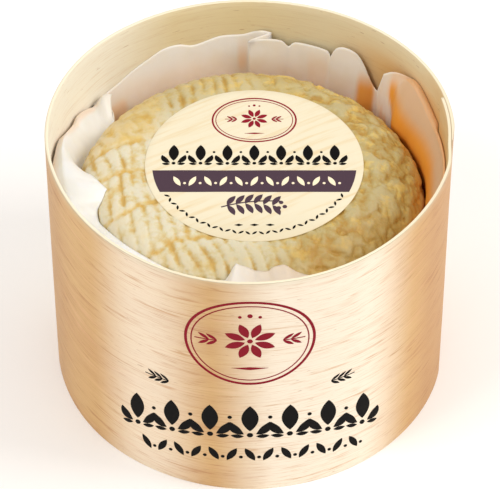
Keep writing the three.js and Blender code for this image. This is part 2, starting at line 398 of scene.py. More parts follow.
def veneerFinish():
    look = veneer
    material = startMaterial("veneerFinish", look["shader"])
    strip = attributeOf("strip")
    scale, height = look["wander"]
    wander = noiseOf(stretched(strip, scale), detail=1.0)
    shift = addNode("CombineXYZ", {"Y": mathOf(wander, height)}).outputs[0]
    grain = addNode("VectorMath", {0: strip, 1: shift}, operation="ADD").outputs[0]
    noises = {}
    for name, (scale, offset, detail, roughness) in look["noises"].items():
        noises[name] = noiseOf(stretched(grain, scale, offset), 1.0, detail, roughness)
    shows = {name: spread(noises[name], *part) for name, part in look["shows"].items()}
    # shares of painted sheen and light, of painted shade, and of the inner face
    lightShare, shadeShare, inside = partsOf(attributeOf("tone"))
    colour = blend(shows["figure"], look["tan"], look["deep"])
    colour = blend(shows["streak"], colour, look["pink"])
    indoors = blend(look["insideFigure"], look["inside"], colour)
    colour = blend(inside, colour, indoors)
    # painted highlight outside and painted light inside, keeping a little of the grain
    light = blend(inside, look["cream"], look["insideLitColour"])
    colour = blend(lightShare, colour, blend(look["litFigure"], light, colour))
    # painted warm shade on the inner face
    colour = blend(attributeOf("warmShade", "Fac"), colour, look["warmShade"])
    # painted shade on the outer face
    colour = blend(shadeShare, colour, look["shadeTan"])
    # thin growth lines where the stretched noise crosses its middle
    offMiddle = mathOf(mathOf(noises["ring"], 0.5, "SUBTRACT"), 0.0, "ABSOLUTE")
    calm = spread(inside, 0.0, 1.0, 1.0, look["calmInside"])
    lines = mathOf(spread(offMiddle, look["ringWidth"], 0.0), shows["fade"])
    lines = mathOf(lines, calm)
    colour = blend(lines, colour, look["line"], "MULTIPLY")
    colour = blend(mathOf(shows["fibre"], calm), colour, look["line"], "MULTIPLY")
    colour = blend(shows["speck"], colour, look["speck"])
    # painted highlight on the rim's top and painted edge shade along its outer edge
    rim, rimShadeLine, _ = partsOf(attributeOf("rim"))
    colour = blend(rim, colour, look["rim"])
    colour = blend(rimShadeLine, colour, look["rimShadeLine"])
    height = mathOf(noises["fibre"], mathOf(lines, 0.5), "SUBTRACT")
    join(colour, work["sockets"]["Base Color"])
    addBump(height, look["bump"])
    return material


# Box wall: one strip bent round onto itself, its ends lapped on the right

wall = {
    "lapOuterEnd": -3, "lapInnerEnd": 15,
    "lapRamp": 11, "lapFade": 3,
    "endThin": 0.7, "endLength": 7,
    "layerGap": 0.03,
    "rimOval": -0.24, "rimLobes": 0.48, "rimFade": 1.5,
    "wavy": 0.05,
    "waves": ((5, 0.04, 0.0), (9, 0.0, 1.3)),  # count, slope with height, start
    "edgeRound": 0.16,
    "rimRough": 0.06, "rimRoughPitch": 0.8, "rimRoughDepth": 1,
    "stepAngle": 1.0, "levels": 30,
}


# Strength of the soft zones of painted light and shade round the wall, each with a level middle and soft
# sides
def zones(azimuth, table):
    total = np.zeros_like(azimuth)
    for middle, level, reach, strength in table:
        away = np.abs((azimuth - middle + 180) % 360 - 180)
        total = np.maximum(total, strength * ramp(reach, level, away))
    return total


# Outer face of the single strip, out of round towards the rim. Waves only draw it in.
def wallFace(angle, z):
    z = np.asarray(z, float)
    a = np.radians(angle)
    fade = np.clip(z / boxHeight, 0, 1) ** wall["rimFade"]
    lobes = wall["rimOval"] * np.cos(2 * a) + wall["rimLobes"] * np.sin(3 * a)
    wave = 0
    for count, slope, start in wall["waves"]:
        wave = wave + np.sin(count * a + slope * z + start)
    return boxRadius + fade * lobes - wall["wavy"] * (1 + wave / 2)


# Inner face of the wall, with the second layer where the ends lap
def wallInside(angle, z):
    turned = (angle + 180) % 360 - 180
    outerEnd, innerEnd, thick = wall["lapOuterEnd"], wall["lapInnerEnd"], veneer["thickness"]
    lap = window(turned, outerEnd - wall["lapRamp"], outerEnd, innerEnd, innerEnd + wall["lapFade"])
    return wallFace(angle, z) - thick - (thick + wall["layerGap"]) * lap


def buildWall(material):
    inset = wall["lapInnerEnd"]
    overlap = inset - wall["lapOuterEnd"]
    sweep = 360 + overlap
    turns = np.arange(0, sweep + 1e-6, wall["stepAngle"])
    thick = veneer["thickness"]
    layer = thick + wall["layerGap"]
    # outline of the strip's section as depth inwards from its outer face, and height
    r = wall["edgeRound"]
    arc = [(r * math.cos(c), r * math.sin(c)) for c in np.radians([0, 30, 60, 90])]
    rise = np.linspace(r, boxHeight - r, wall["levels"])
    outline = [(0.0, z) for z in rise]
    outline += [(r - c, boxHeight - r + s) for c, s in arc[1:]]
    outline += [(thick - r + s, boxHeight - r + c) for c, s in arc]
    outline += [(thick, z) for z in rise[-2::-1]]
    outline += [(thick - r + c, r - s) for c, s in arc[1:]]
    outline += [(r - s, r - c) for c, s in arc[:-1]]
    depth, height = np.array(outline).T
    nearRim = height > boxHeight - wall["rimRoughDepth"]
    columns = []
    for turned in turns:
        angle = inset - turned
        under = 1 - ramp(0, wall["lapRamp"], turned - overlap)
        rough = noise(np.array(turned * wall["rimRoughPitch"]), 0.0, 0.0, 11)
        z = height + np.where(nearRim, wall["rimRough"] * rough - wall["rimRough"], 0)
        thin = wall["endThin"] * ramp(wall["endLength"], 0, sweep - turned)
        face = wallFace(angle, z) - layer * under - thick * thin * (1 - depth / thick)
        columns.append(around(angle, face - depth, z))
    points = np.array(columns)
    count, rows = points.shape[:2]
    faces = flipped(gridFaces(count, rows, False, True))
    last = (count - 1) * rows
    faces += [tuple(range(rows)), tuple(reversed(range(last, last + rows)))]
    piece = makePiece("boxWall", points, faces, material)
    along = np.repeat(np.radians(turns) * boxRadius, rows)
    level = np.tile(height, count)
    through = np.tile(depth, count)
    addAttribute(piece, "strip", along, level, through)
    # azimuth that the outer face looks to; the inner face looks the other way
    outward = np.repeat(90 + inset - turns, rows)
    inward = outward + 180
    inside = through > thick / 2
    # painted sheen, light and shade, set by the azimuth each face looks to
    lightShare = np.where(inside, zones(inward, veneer["paintedLightInside"]), zones(outward, veneer["paintedSheenOutside"]))
    shadeShare = np.where(inside, 0, zones(outward, veneer["paintedShadeOutside"]))
    addAttribute(piece, "tone", lightShare, shadeShare, inside)
    # painted warm shade on the inner face, fuller low down
    low = mix(veneer["warmShadeAbove"], 1.0, ramp(*veneer["warmShadeLevels"], level))
    warmShade = np.maximum(low * zones(inward, veneer["paintedWarmShadeInside"]), zones(inward, veneer["paintedWarmShadeHigh"]))
    addAttribute(piece, "warmShade", np.where(inside, warmShade, 0))
    # painted highlight on the rim's top and painted edge shade at its outer edge
    begin, full = veneer["rimBand"]
    top = ramp(boxHeight - begin, boxHeight - full, level)
    line = top * ramp(*veneer["rimShadeLineDepth"], through)
    addAttribute(piece, "rim", veneer["rimShare"] * top, veneer["rimShadeLineShare"] * line, top * 0)
    addPiece(piece, "box_wood", "box_wall")


# Cheese

cheese = {
    "radius": 36.5, "bottom": 3.5, "top": 53.9,
    "shoulder": 12.5, "footRound": 6, "sideBulge": 0.25,
    "outlineWaves": ((2, 0.4, 110), (5, 0.2, 0)),
    "outlineDraw": 0.1,
    "columns": 780, "shoulderRings": 84, "sideRings": 22,
    "topRings": (23.1, 22.6, 22, 20, 10),
    "rowTilt": 17,
    # grooves between the rows, then the turn of the ridges and their start in each row
    "rowGrooves": (-17, -5.2, 5.6, 14.3),
    "rowTurn": (24, 13, 8, 9, 12),
    "rowStart": (0.2, 1.4, 0.5, 0.0, 0.9),
    "ridgePitch": 2.6, "ridgeHeight": 0.52,
    "ridgeStrength": (0.8, 0.75),  # usual strength and how much it varies
    "ridgeBend": 0.55,
    "grooveDepth": 0.3, "grooveWidth": 0.75,
    "grooveStray": (0.55, 0.5),  # in long waves and at random
    "swellingRow": 4, "swellingFrom": (-16, -22), "swellingRough": 0.32,
    "lumpHeight": 0.85,
    "lumps": ((1, 4.6, 5.4, 4), (0.62, 2.4, 2.9, 5)),  # share, width, length, seed
    "pitDepth": 0.4,
    "bumps": ((0.2, 5.5, 7), (0.12, 1.7, 8), (0.08, 0.8, 10)),  # height, size, seed
    "crestLimit": 0.1, "crestSharpness": 14, "rise": 0.3,
    # where ridges change to lumps, from left to right, and how that border leans and bends
    "changeSpan": (-8, 9),
    "borderLean": 0.16,
    "borderBend": (7, -8, -28),
    "shader": {
        "Roughness": 0.5, "Subsurface Weight": 0.22,
        "Subsurface Radius": (1.0, 0.66, 0.34), "Subsurface Scale": 0.7 * mm,
    },
    "bump": 0.16,
    "crest": (219, 212, 190), "body": (211, 196, 153),
    "crease": (204, 168, 92), "greyed": (219, 209, 174),
    # the second colour is the tan of the pits, also laid on as painted shade
    "butter": (225, 193, 104), "pitAndShade": (176, 136, 66),
    "amber": (218, 178, 84), "side": (222, 158, 66),
}


# Short ridges in rows on the left and in front. Gives the relief, then the shares of the
# soft swelling at the back left and of the grooves between rows.
def ridgeRelief(x, y):
    look = cheese
    tilt = math.radians(look["rowTilt"])
    bend = look["ridgeBend"] * noise(x / 8, y / 8, 0.0, 1)
    across = y * math.cos(tilt) - x * math.sin(tilt)
    waves, stray = look["grooveStray"]
    row = np.zeros(x.shape, int)
    groove = np.zeros_like(x)
    for i, place in enumerate(look["rowGrooves"]):
        offset = across - place - waves * np.sin(0.3 * x + 2 * i)
        offset = offset - stray * noise(x / 4, y / 9, i * 3.0, 9)
        row = np.where(offset > 0, i + 1, row)
        groove += np.exp(-(offset / look["grooveWidth"]) ** 2)
    turn = np.radians(np.array(look["rowTurn"])[row])
    begin = np.array(look["rowStart"])[row]
    phase = np.pi * ((x + bend) * np.cos(turn) + y * np.sin(turn)) / look["ridgePitch"] + begin * np.pi
    crest = np.abs(np.sin(phase)) ** 1.05
    usual, varies = look["ridgeStrength"]
    strength = np.clip(usual + varies * noise(x / 3.6, y / 4.6, row * 2.0, 3), 0.15, 1.3)
    groove = np.minimum(groove, 1)
    swelling = np.where(row == look["swellingRow"], ramp(*look["swellingFrom"], x), 0) * (1 - groove)
    relief = look["ridgeHeight"] * (crest - 0.75) * strength * (1 - 0.5 * groove)
    soft = look["swellingRough"] * noise(x / 1.5 + y / 3, y / 3.4, 0.0, 33) - 0.02
    relief = relief * (1 - 0.6 * swelling) + swelling * soft
    return relief - look["grooveDepth"] * groove, swelling, groove


# Small uneven lumps with narrow creases on the right, and a few deep pits
def lumpRelief(x, y, z):
    wave = 0
    for share, width, length, seed in cheese["lumps"]:
        wave = wave + share * noise(x / width, y / length, z / width, seed)
    lump = 0.78 * np.minimum(np.abs(wave), 1.1) ** 0.8
    lump = lump + 0.22 * (0.5 + noise(x / 2.6, y / 2.6, z / 2.6, 15))
    pits = ramp(0.42, 0.8, noise(x / 2.1, y / 2.3, z / 2.1, 14))
    return cheese["lumpHeight"] * (1.15 * lump - 0.8) - cheese["pitDepth"] * pits


def rindRelief(x, y, z):
    look = cheese
    bend, bendFrom, bendTo = look["borderBend"]
    border = x - look["borderLean"] * np.maximum(y, 0) - bend * ramp(bendFrom, bendTo, y)
    change = ramp(*look["changeSpan"], border + 4 * noise(x / 7, y / 7, 0.0, 6))
    ridged, swelling, groove = ridgeRelief(x, y)
    relief = mix(ridged, lumpRelief(x, y, z), change)
    for height, size, seed in look["bumps"]:
        relief = relief + height * noise(x / size, y / size, z / size, seed)
    # the crests are pressed a little flat, as under the paper
    limit, sharp = look["crestLimit"], look["crestSharpness"]
    relief = limit - np.log1p(np.exp((limit - relief) * sharp)) / sharp
    return relief + look["rise"], change, swelling, groove


# Section from the foot to the top: radius, height, which way it faces, share of the relief
def cheeseSection():
    look = cheese
    section = []

    def addArc(centre, radius, span, steps, share):
        for a in np.radians(np.linspace(*span, steps)):
            out, up = math.cos(a), math.sin(a)
            section.append((centre[0] + radius * out, centre[1] + radius * up, out, up, share))

    foot = (look["radius"] - look["footRound"], look["bottom"] + look["footRound"])
    shoulder = (look["radius"] - look["shoulder"], look["top"] - look["shoulder"])
    section.append((12, look["bottom"], 0, -1, 0))
    addArc(foot, look["footRound"], (-90, -6), 8, 0.1)
    for height in np.linspace(0.08, 0.97, look["sideRings"]):
        r = look["radius"] + look["sideBulge"] * math.sin(math.pi * height)
        section.append((r, mix(foot[1], shoulder[1], height), 1, 0, mix(0.15, 0.9, height ** 2)))
    addArc(shoulder, look["shoulder"], (2, 88), look["shoulderRings"], 1)
    section += [(r, look["top"], 0, 1, 0.8) for r in look["topRings"]]
    return np.array(section)


def unevenOutline(angle, radius):
    total = -cheese["outlineDraw"]
    for count, height, start in cheese["outlineWaves"]:
        total = total + height * np.sin(np.radians(count * angle + start))
    return total * ramp(15, 35, radius)


def cheeseFinish():
    look = cheese
    material = startMaterial("rindFinish", look["shader"])
    crest, right, side = partsOf(attributeOf("rind"))
    butter, patches, amber = partsOf(attributeOf("tint"))
    place = placeOf()
    bloom = noiseOf(place, 1100.0, 3.0, 0.6)
    patch = noiseOf(place, 340.0, 3.0, 0.6)
    cloud = noiseOf(place, 420.0)
    depth = mathOf(crest, spread(bloom, 0.3, 0.7, -0.1, 0.1), "ADD")
    depth = mathOf(depth, spread(cloud, 0.3, 0.7, -0.14, 0.14), "ADD")
    colour = blend(spread(depth, 0.25, 0.72), look["crease"], look["body"])
    colour = blend(spread(depth, 0.62, 0.95, 0.0, 0.9), colour, look["crest"])
    colour = blend(right, colour, look["greyed"], "MULTIPLY")
    deepest = mathOf(spread(depth, 0.32, 0.05, 0.0, 0.6), right)
    colour = blend(deepest, colour, look["pitAndShade"])
    melting = mathOf(spread(patch, 0.5, 0.7, 0.0, 0.6), patches)
    colour = blend(mathOf(melting, butter, "ADD"), colour, look["butter"])
    colour = blend(mathOf(amber, 0.45), colour, look["amber"])
    # painted shade at the front right, and a darker tone on the swelling
    colour = blend(attributeOf("shadeAndDarkTone", "Fac"), colour, look["pitAndShade"])
    colour = blend(side, colour, look["side"])
    join(colour, work["sockets"]["Base Color"])
    addBump(bloom, look["bump"])
    return material


def buildCheese(material):
    look = cheese
    section = cheeseSection()
    angle = np.linspace(0, 360, look["columns"], endpoint=False)[:, None]
    r, z, nr, nz, share = [section[:, i][None, :] for i in range(5)]
    flat = around(angle, r, z)
    x, y, level = flat[..., 0], flat[..., 1], flat[..., 2]
    relief, change, swelling, groove = rindRelief(x, y, level)
    lift = relief * share
    points = around(angle, r + nr * lift + unevenOutline(angle, r), z + nz * lift)
    ends = [(0, 0, look["bottom"]), (0, 0, look["top"])]
    allPoints = np.concatenate([points.reshape(-1, 3), ends])
    piece = makePiece("cheeseWheel", allPoints, turnedFaces(*points.shape[:2]), material)
    # colours by place: spans of x run to the right, spans of y to the back, radii outwards
    radius = np.hypot(x, y)
    warm = ramp(-30, 25, x + 0.4 * y)
    uneven = 0.6 + 0.5 * noise(x / 2.5, y / 3, level / 3, 34)
    crest = (relief + mix(0.35, 0.68, change)) / mix(0.72, 1.05, change)
    grey = 0.75 * ramp(7, 22, y) * (1 - 0.35 * swelling)
    grey = grey + 0.45 * ramp(-19, -28, y) * ramp(-24, -6, x)
    side = ramp(49, 40, level) * mix(0.35, 0.95, warm)
    butter = 0.75 * swelling * uneven + 0.5 * ramp(27.5, 35.5, radius) * warm
    butter = np.maximum(butter, 0.4 * ramp(16, 30, y) * uneven)
    patches = mix(0.3, 1.0, warm)
    amber = groove ** 2 * ramp(-6, -17, x) * (0.5 + 0.5 * noise(x / 3, y / 3, 0.0, 35))
    # painted shade at the front right of the rind, and a darker tone on the swelling
    shadeAndDarkTone = 0.34 * ramp(-4, -17, y) * ramp(3, 16, x) * ramp(23, 29, radius)
    shadeAndDarkTone = shadeAndDarkTone + 0.12 * swelling

    def withEnds(values, foot=0, top=0):
        return np.append(np.clip(values, 0, 1), [foot, top])

    right = withEnds(change + grey)
    addAttribute(piece, "rind", withEnds(crest, 1, 1), right, withEnds(side, 0.8))
    addAttribute(piece, "tint", withEnds(butter), withEnds(patches), withEnds(amber))
    addAttribute(piece, "shadeAndDarkTone", withEnds(shadeAndDarkTone))
    addPiece(piece, "cheese_rind", "cheese")


# Waxed paper: a pleated cup. Each row is a line of the sheet: angle, radius and depth below
# the rim at its top; angle and radius low down; the share of the height where it leans over
# to the top radius; 1 where it turns over into a flap; the degrees round the shoulder that
# the flap reaches, below 0 if it turns out against the wall; 1 at a sharp crease. A short
# row ends as in "usual".

paper = {
    "thickness": 0.12,
    "sideStart": 10,
    "footPath": ((12, 2.9), (24, 2.9), (32, 2.9), (35, 3.9), (36.6, 6)),  # radius, height
    "rows": 52, "flapRows": 24, "step": 0.45,
    "touch": 0.1, "wallGap": 0.14,
    "lip": 0.6,  # height of the bend at the top
    "leanPower": 1.4,
    "swing": (0.4, 0.95),  # change from the low angle to the top one
    "hugSpan": (-30, -18, 32, 42), "hugRoll": (32, 135),
    "leanHeight": 46.5, "shoulderGap": 0.78,
    "bendShare": 0.16, "sag": 0.5, "ripple": 0.13,
    "shader": {
        "Roughness": 0.42, "Subsurface Weight": 0.4,
        "Subsurface Radius": (1.0, 0.8, 0.55), "Subsurface Scale": 0.5 * mm,
    },
    "bump": 0.03,
    "colour": (254, 251, 246), "shaded": (250, 245, 236),
    "dim": (204, 186, 164), "glow": (252, 164, 62),
    # grey where the paper stands in shade: span of angles, strength
    "dimZones": ((-112, -82, -56, -38, 0.7), (-38, -30, 33, 40, 0.88), (36, 46, 148, 166, 0.22)),
    # painted warm light and warm shade in spans: where each begins, is full, fades and ends
    "warmRight": (-60, -40, 39, 45),
    "warmBack": (10, 40, 138, 146),
    "warmFront": (-125, -100, -60, -40),
    "warmLedge": (140, 150, 200, 215),
    # painted warm shade in hollows: angle, reach, full half-width, heights and radii from faint to full,
    # strength
    "hollows": (
        (51, 4, 1.6, 53, 46.5, 0, 1, 0.95),
        (68, 6, 2, 55, 47, 0, 1, 0.26),
        (92.4, 2.6, 0.6, 56, 46, 39.3, 40.2, 0.42),
        (137, 7, 3, 47.5, 44, 0, 1, 0.5),
    ),
    "usual": (37.9, 0.5, 0, 20, 0),
    "columns": (
        (-50, 38.6, 12, -50, 38, 0.5, 1, 36), (-40, 38.6, 12, -40, 38.2, 0.5, 0.5, 24),
        (-32, 38.5, 12, -32, 38), (-26, 38.8, 11.4, -26, 38.1, 0.6, 0, -1),
        (-18, 39.3, 10.6, -18, 38, 0.72, 1, -1), (-8, 39.8, 9.7, -8, 37.95, 0.77, 1, -1),
        (-3, 40.1, 9.3, -3, 37.9, 0.79, 1, -1), (4, 40.2, 9.2, 4, 37.9, 0.79, 1, -1),
        (12, 40.2, 9.3, 12, 37.9, 0.79, 1, -1), (18, 40.2, 9.1, 18, 37.9, 0.79, 1, -1),
        (22.5, 40.2, 8.2, 22.5, 37.9, 0.79, 1, -1), (27, 40.3, 7, 26.8, 37.9, 0.79, 1, -1),
        (31, 40.3, 5.9, 30.2, 37.9, 0.79, 1, -1), (35, 40.2, 5.7, 32.6, 37.9, 0.74, 1, -1),
        (38.4, 40, 5.8, 34, 37.95, 0.66, 0.7, -1), (40.6, 39.6, 6, 35, 38.05, 0.55, 0.2, -1),
        (42.4, 38.8, 7.3, 36.4, 38.1, 0.5, 0, -1, 1), (43.4, 38.2, 11, 39.6), (44.6, 38.6, 13.2, 42),
        (46.2, 40, 14.9, 44.6, 39.6), (48.6, 40.7, 14.9, 47.4, 40), (50.4, 40.6, 12.8, 49.6, 38.6),
        (52.6, 40.6, 10, 52.4, 38.05), (55.4, 40.6, 7.9, 55.4), (59.5, 40.4, 7.4, 59.5),
        (62.4, 40.2, 8.4, 62.4), (64, 39.8, 11, 63.8, 37.9, 0.5, 0, 20, 1), (65.2, 40.3, 9.9, 65.2),
        (71, 40.5, 9.7, 71), (76, 40.5, 9.8, 76), (78, 40.3, 11, 78), (80, 40.2, 9.6, 80),
        (84, 40, 9.2, 84), (88, 39.6, 9.2, 88), (90.6, 39.1, 9.2, 90.2, 37.9, 0.5, 0, 20, 1),
        (83.4, 40.8, 8, 88.8, 38, 0.5, 0, 20, 1), (86.5, 40.9, 7.7, 90.4, 38.1), (92, 41.9, 9.2, 92, 38.3),
        (99, 41.9, 9.4, 99, 38.05), (107, 41.9, 10.9, 107), (112, 41.9, 9.8, 112), (117, 41.9, 9.8, 117),
        (122, 41.9, 11.1, 122, 38, 0.55), (128, 41.9, 12.5, 128, 38.05, 0.6),
        (134, 41.9, 14, 134, 38, 0.65), (144, 41.9, 14.8, 141, 38.8, 0.7, 0, 33, 1),
        (138.2, 39.9, 12.9, 146.4, 41.1, 0.94, 1, 28.5, 1), (141.2, 40.7, 12.3, 147.6, 41.2, 0.94, 1, 28),
        (145, 41.2, 14.1, 149.6, 41.4, 0.97, 1, 27), (149, 41.4, 12.9, 152, 41.5, 0.97, 1, 25.5),
        (153.6, 41.3, 12.1, 155.2, 41.5, 0.97, 1, 23), (157, 41.1, 12.5, 157.8, 41.5, 0.97, 1, 21),
        (163, 40.7, 10.8, 163, 41.5, 0.97, 1, 17.5), (168, 40.2, 9, 168, 41.4, 0.97, 1, 14.5),
        (171.3, 39.9, 8.3, 171.3, 41.2, 0.97, 1, 17), (174, 39.8, 8.2, 174, 41.1, 0.97, 1, 31),
        (178, 39.6, 8.2, 178, 41.1, 0.97, 1, 43), (184, 39.4, 8.3, 184, 41.1, 0.97, 1, 53),
        (190.7, 39.3, 8.5, 190.7, 41.1, 0.97, 1, 61, 1), (195.4, 39.1, 8.7, 195.4, 41.1, 0.97, 1, 53),
        (198, 38.9, 8.8, 198, 41.1, 0.97, 1, 44), (203, 38.7, 9, 203, 41, 0.97, 1, 42),
        (211, 38.7, 9.2, 211, 40.6, 0.92, 1, 46), (224, 38.7, 9.4, 224, 39.6, 0.9, 1, 50),
        (232, 38.7, 9.5, 232, 38.8, 0.86, 1, 51), (244, 38.7, 9.5, 244, 38.2, 0.7, 1, 51),
        (261, 38.7, 9.4, 261, 37.9, 0.5, 1, 54, 1), (264.3, 38.7, 9.3, 264.3, 37.9, 0.5, 1, 71, 1),
        (269.3, 38.7, 9.3, 269.3, 37.9, 0.5, 1, 67), (275.6, 38.7, 9.3, 275.6, 37.9, 0.5, 1, 63),
        (280, 38.7, 9.4, 280, 37.9, 0.5, 1, 67), (284, 38.7, 9.5, 284, 37.9, 0.5, 1, 67),
        (289, 38.7, 9.8, 289, 37.9, 0.5, 1, 56.5), (296.6, 38.6, 10.4, 296.6, 37.9, 0.5, 1, 48),
        (303.4, 38.6, 11.2, 303.4, 37.9, 0.5, 1, 48),
    ),
}


# The lines of the sheet, closer together: smooth between rows, sharp at creases
def paperLines():
    table = [np.array([*row, *paper["usual"][len(row) - 4:]], float) for row in paper["columns"]]
    turn = np.zeros(len(table[0]))
    turn[[0, 3]] = 360
    rows = [table[-1] - turn, *table, table[0] + turn, table[1] + turn]
    lines = []
    for i in range(1, len(rows) - 2):
        a, b = rows[i], rows[i + 1]
        leave = (b - rows[i - 1]) / 2 if a[-1] < 0.5 else b - a
        arrive = (rows[i + 2] - a) / 2 if b[-1] < 0.5 else b - a
        length = math.hypot(math.radians(b[0] - a[0]) * 40, b[1] - a[1])
        steps = max(2, int(round(length / paper["step"])))
        for t in np.arange(steps) / steps:
            weight = 2 * t ** 3 - 3 * t ** 2 + 1
            line = weight * a + (t ** 3 - 2 * t ** 2 + t) * leave
            lines.append(line + (1 - weight) * b + (t ** 3 - t ** 2) * arrive)
    return lines


# Points of one line of the sheet from the middle of the bottom to the free edge
def paperLine(row):
    angle, radius, depth, lowAngle, lowRadius, flare, folded, reach = row[:8]
    look, lip, gap = cheese, paper["lip"], paper["wallGap"]
    arm = look["shoulder"]
    centre, shoulder = look["radius"] - arm, look["top"] - arm
    top = boxHeight - depth
    count, flapCount = paper["rows"], paper["flapRows"]
    flare = np.clip(flare, 0.2, 0.975)
    folded = np.clip(folded, 0, 1)
    radius = min(radius, wallInside(angle, top) - gap)

    # on the right the sheet lies on the cheese's shoulder before it opens out
    hug = window(angle, *paper["hugSpan"])

    def rising(share, height):
        lean = np.clip((share - flare) / (1 - flare), 0, 1) ** paper["leanPower"]
        swing = ramp(*paper["swing"], share)
        z = mix(paper["sideStart"], height, share)
        climb = np.clip(z, shoulder, paper["leanHeight"]) - shoulder
        snug = centre + np.sqrt(arm ** 2 - climb ** 2)
        snug = snug + unevenOutline(angle, look["radius"]) + paper["shoulderGap"]
        low = mix(lowRadius, np.minimum(lowRadius, snug), hug)
        return around(mix(lowAngle, angle, swing), mix(low, radius, lean), z)

    standing = rising(np.linspace(0, 1, count + flapCount), top)
    outer = rising(np.linspace(0, 1, count), top - lip)
    down = np.linspace(0, 1, flapCount + 1)[1:]
    if reach < 0:
        begin, end = np.radians(paper["hugRoll"])
        roll = mix(begin, end, down)
        out = wallInside(angle, top) - gap - radius
        flapRadius = radius + out * (math.cos(begin) - np.cos(roll)) / (math.cos(begin) - math.cos(end))
        flapHeight = top - lip + lip * (np.sin(roll) - math.sin(begin)) / (1 - math.sin(begin))
    else:
        cosine, sine = math.cos(np.radians(reach)), math.sin(np.radians(reach))
        rest = around(angle, centre + arm * cosine, shoulder)
        relief = rindRelief(rest[:1], rest[1:2], rest[2:] + arm * sine)[0][0]
        out = arm + relief + paper["touch"]
        bend = lip * np.sin(math.pi * np.clip(down / paper["bendShare"], 0, 1) / 2)
        sag = paper["sag"] * np.sin(math.pi * down) * (1 - down)
        drop = ramp(0.05, 1, down) * 0.75 + 0.25 * down
        flapRadius = mix(radius, centre + out * cosine, down ** 1.15)
        flapHeight = mix(top - lip + bend, shoulder + out * sine, drop) + sag
    flap = around(mix(angle, lowAngle, down), flapRadius, flapHeight)
    side = mix(standing, np.concatenate([outer, flap]), folded)
    foot = [around(lowAngle, r, z) for r, z in paper["footPath"]]
    return np.concatenate([foot, side])


def paperFinish():
    look = paper
    material = startMaterial("waxedPaperFinish", look["shader"])
    place = placeOf()
    fibre = noiseOf(place, 1500.0, 4.0, 0.7)
    cloud = noiseOf(place, 180.0)
    tone = blend(spread(cloud, 0.35, 0.65), look["shaded"], look["colour"])
    tone = blend(spread(fibre, 0.3, 0.7, 0.0, 0.12), tone, look["shaded"])
    # painted shade, then painted warm light and warm shade
    tone = blend(attributeOf("dim", "Fac"), tone, look["dim"])
    tone = blend(attributeOf("glow", "Fac"), tone, look["glow"])
    join(tone, work["sockets"]["Base Color"])
    addBump(fibre, look["bump"])
    return material


# Painted warm light and warm shade on the paper, low on the right and in its hollows
def paperGlow(angle, radius, level, outward):
    # it stands as high as this edge, with a clean ridge where the pleat turns
    edge = 50.6 + 3.4 * np.clip((angle - 22) / 15, 0, 1.1) ** 2 - 0.8 * ramp(8, 2, angle)
    low = ramp(edge + 1.8, edge - 2.4, level)
    glow = np.maximum(window(angle, *paper["warmRight"]) * (0.36 + 0.64 * low), 0.55 * outward)
    ridge = ramp(3.4, 1.8, np.abs(angle - mix(37, 43, ramp(42, 52, level))))
    glow = glow * (1 - 0.85 * ridge)
    back = (0.14 * ramp(52, 45, level) + 0.04) * window(angle, *paper["warmBack"])
    front = mix(0.04, 0.13, ramp(-100, -68, angle)) * window(angle, *paper["warmFront"])
    # painted warm light on the narrow ledge of the fold on the left, next to the wall
    ledge = 0.3 * window(np.mod(angle, 360), *paper["warmLedge"])
    ledge = ledge * ramp(39.5, 40.4, radius) * ramp(38, 42, level)
    for share in (back, front, ledge):
        glow = np.maximum(glow, share)
    for middle, reach, full, high, deep, near, far, strength in paper["hollows"]:
        share = strength * ramp(reach, full, np.abs(angle - middle))
        glow = np.maximum(glow, share * ramp(high, deep, level) * ramp(near, far, radius))
    return np.clip(glow, 0, 1)


def buildPaper(material):
    lines = paperLines()
    grid = np.array([paperLine(line) for line in lines])
    x, y, level = grid[..., 0], grid[..., 1], grid[..., 2]
    columns, count = grid.shape[:2]
    along = np.arange(count) - (count - paper["flapRows"])
    turnedOut = [np.clip(line[6], 0, 1) if line[7] < 0 else 0 for line in lines]
    outward = np.array(turnedOut)[:, None] * ramp(0, 3, along)[None, :]
    ripple = noise(x / 5, y / 5, level / 9, 21)
    ripple = ripple + 0.4 * noise(x / 2.2, y / 2.2, level / 4, 22)
    across = np.roll(grid, -1, axis=0) - np.roll(grid, 1, axis=0)
    normal = np.cross(across, np.gradient(grid, axis=1))
    normal /= np.maximum(np.linalg.norm(normal, axis=-1, keepdims=True), 1e-6)
    # the ripple fades out low down and towards the free edge
    calm = ramp(20, 45, level)[..., None]
    calm = calm * ramp(0, 7, count - 1 - np.arange(count))[None, :, None]
    middle = grid + normal * (paper["ripple"] * ripple[..., None] * calm)
    half = normal * (paper["thickness"] / 2)
    points = np.concatenate([(middle + half).reshape(-1, 3), (middle - half).reshape(-1, 3)])
    piece = makePiece("paperCup", points, sheetFaces(columns, count, True), material)
    angle = np.degrees(np.arctan2(y, x))
    glow = paperGlow(angle, np.hypot(x, y), level, outward)
    dim = sum(strength * window(angle, *span) for *span, strength in paper["dimZones"])
    addAttribute(piece, "glow", [glow, glow])
    addAttribute(piece, "dim", [dim, dim])
    addPiece(piece, "waxed_paper", "paper_liner")


# Label

label = {
    "thickness": 0.22, "wave": 0.1, "rings": 14, "sides": 192,
    "edge": (0.08, 0.05),  # width and height of its worn edge
    "shader": {"Roughness": 0.45},
    "colour": (233, 223, 196),
    "grain": (226, 203, 160),
    "grainTurn": -30,
    # painted shade towards the front of the label
    "frontShade": (214, 199, 165),
    "frontShadeSpan": (-0.012, -0.023), "frontShadeShare": 0.55,
}
labelCentre = (labelLow + labelHigh) / 2
labelRadius = (labelHigh[0] - labelLow[0]) / 2


def labelHeight(x, y):
    wave = noise(np.asarray(x) / 9, np.asarray(y) / 9, 0.0, 31)
    return labelHigh[2] - label["wave"] * (1 + wave) / 2


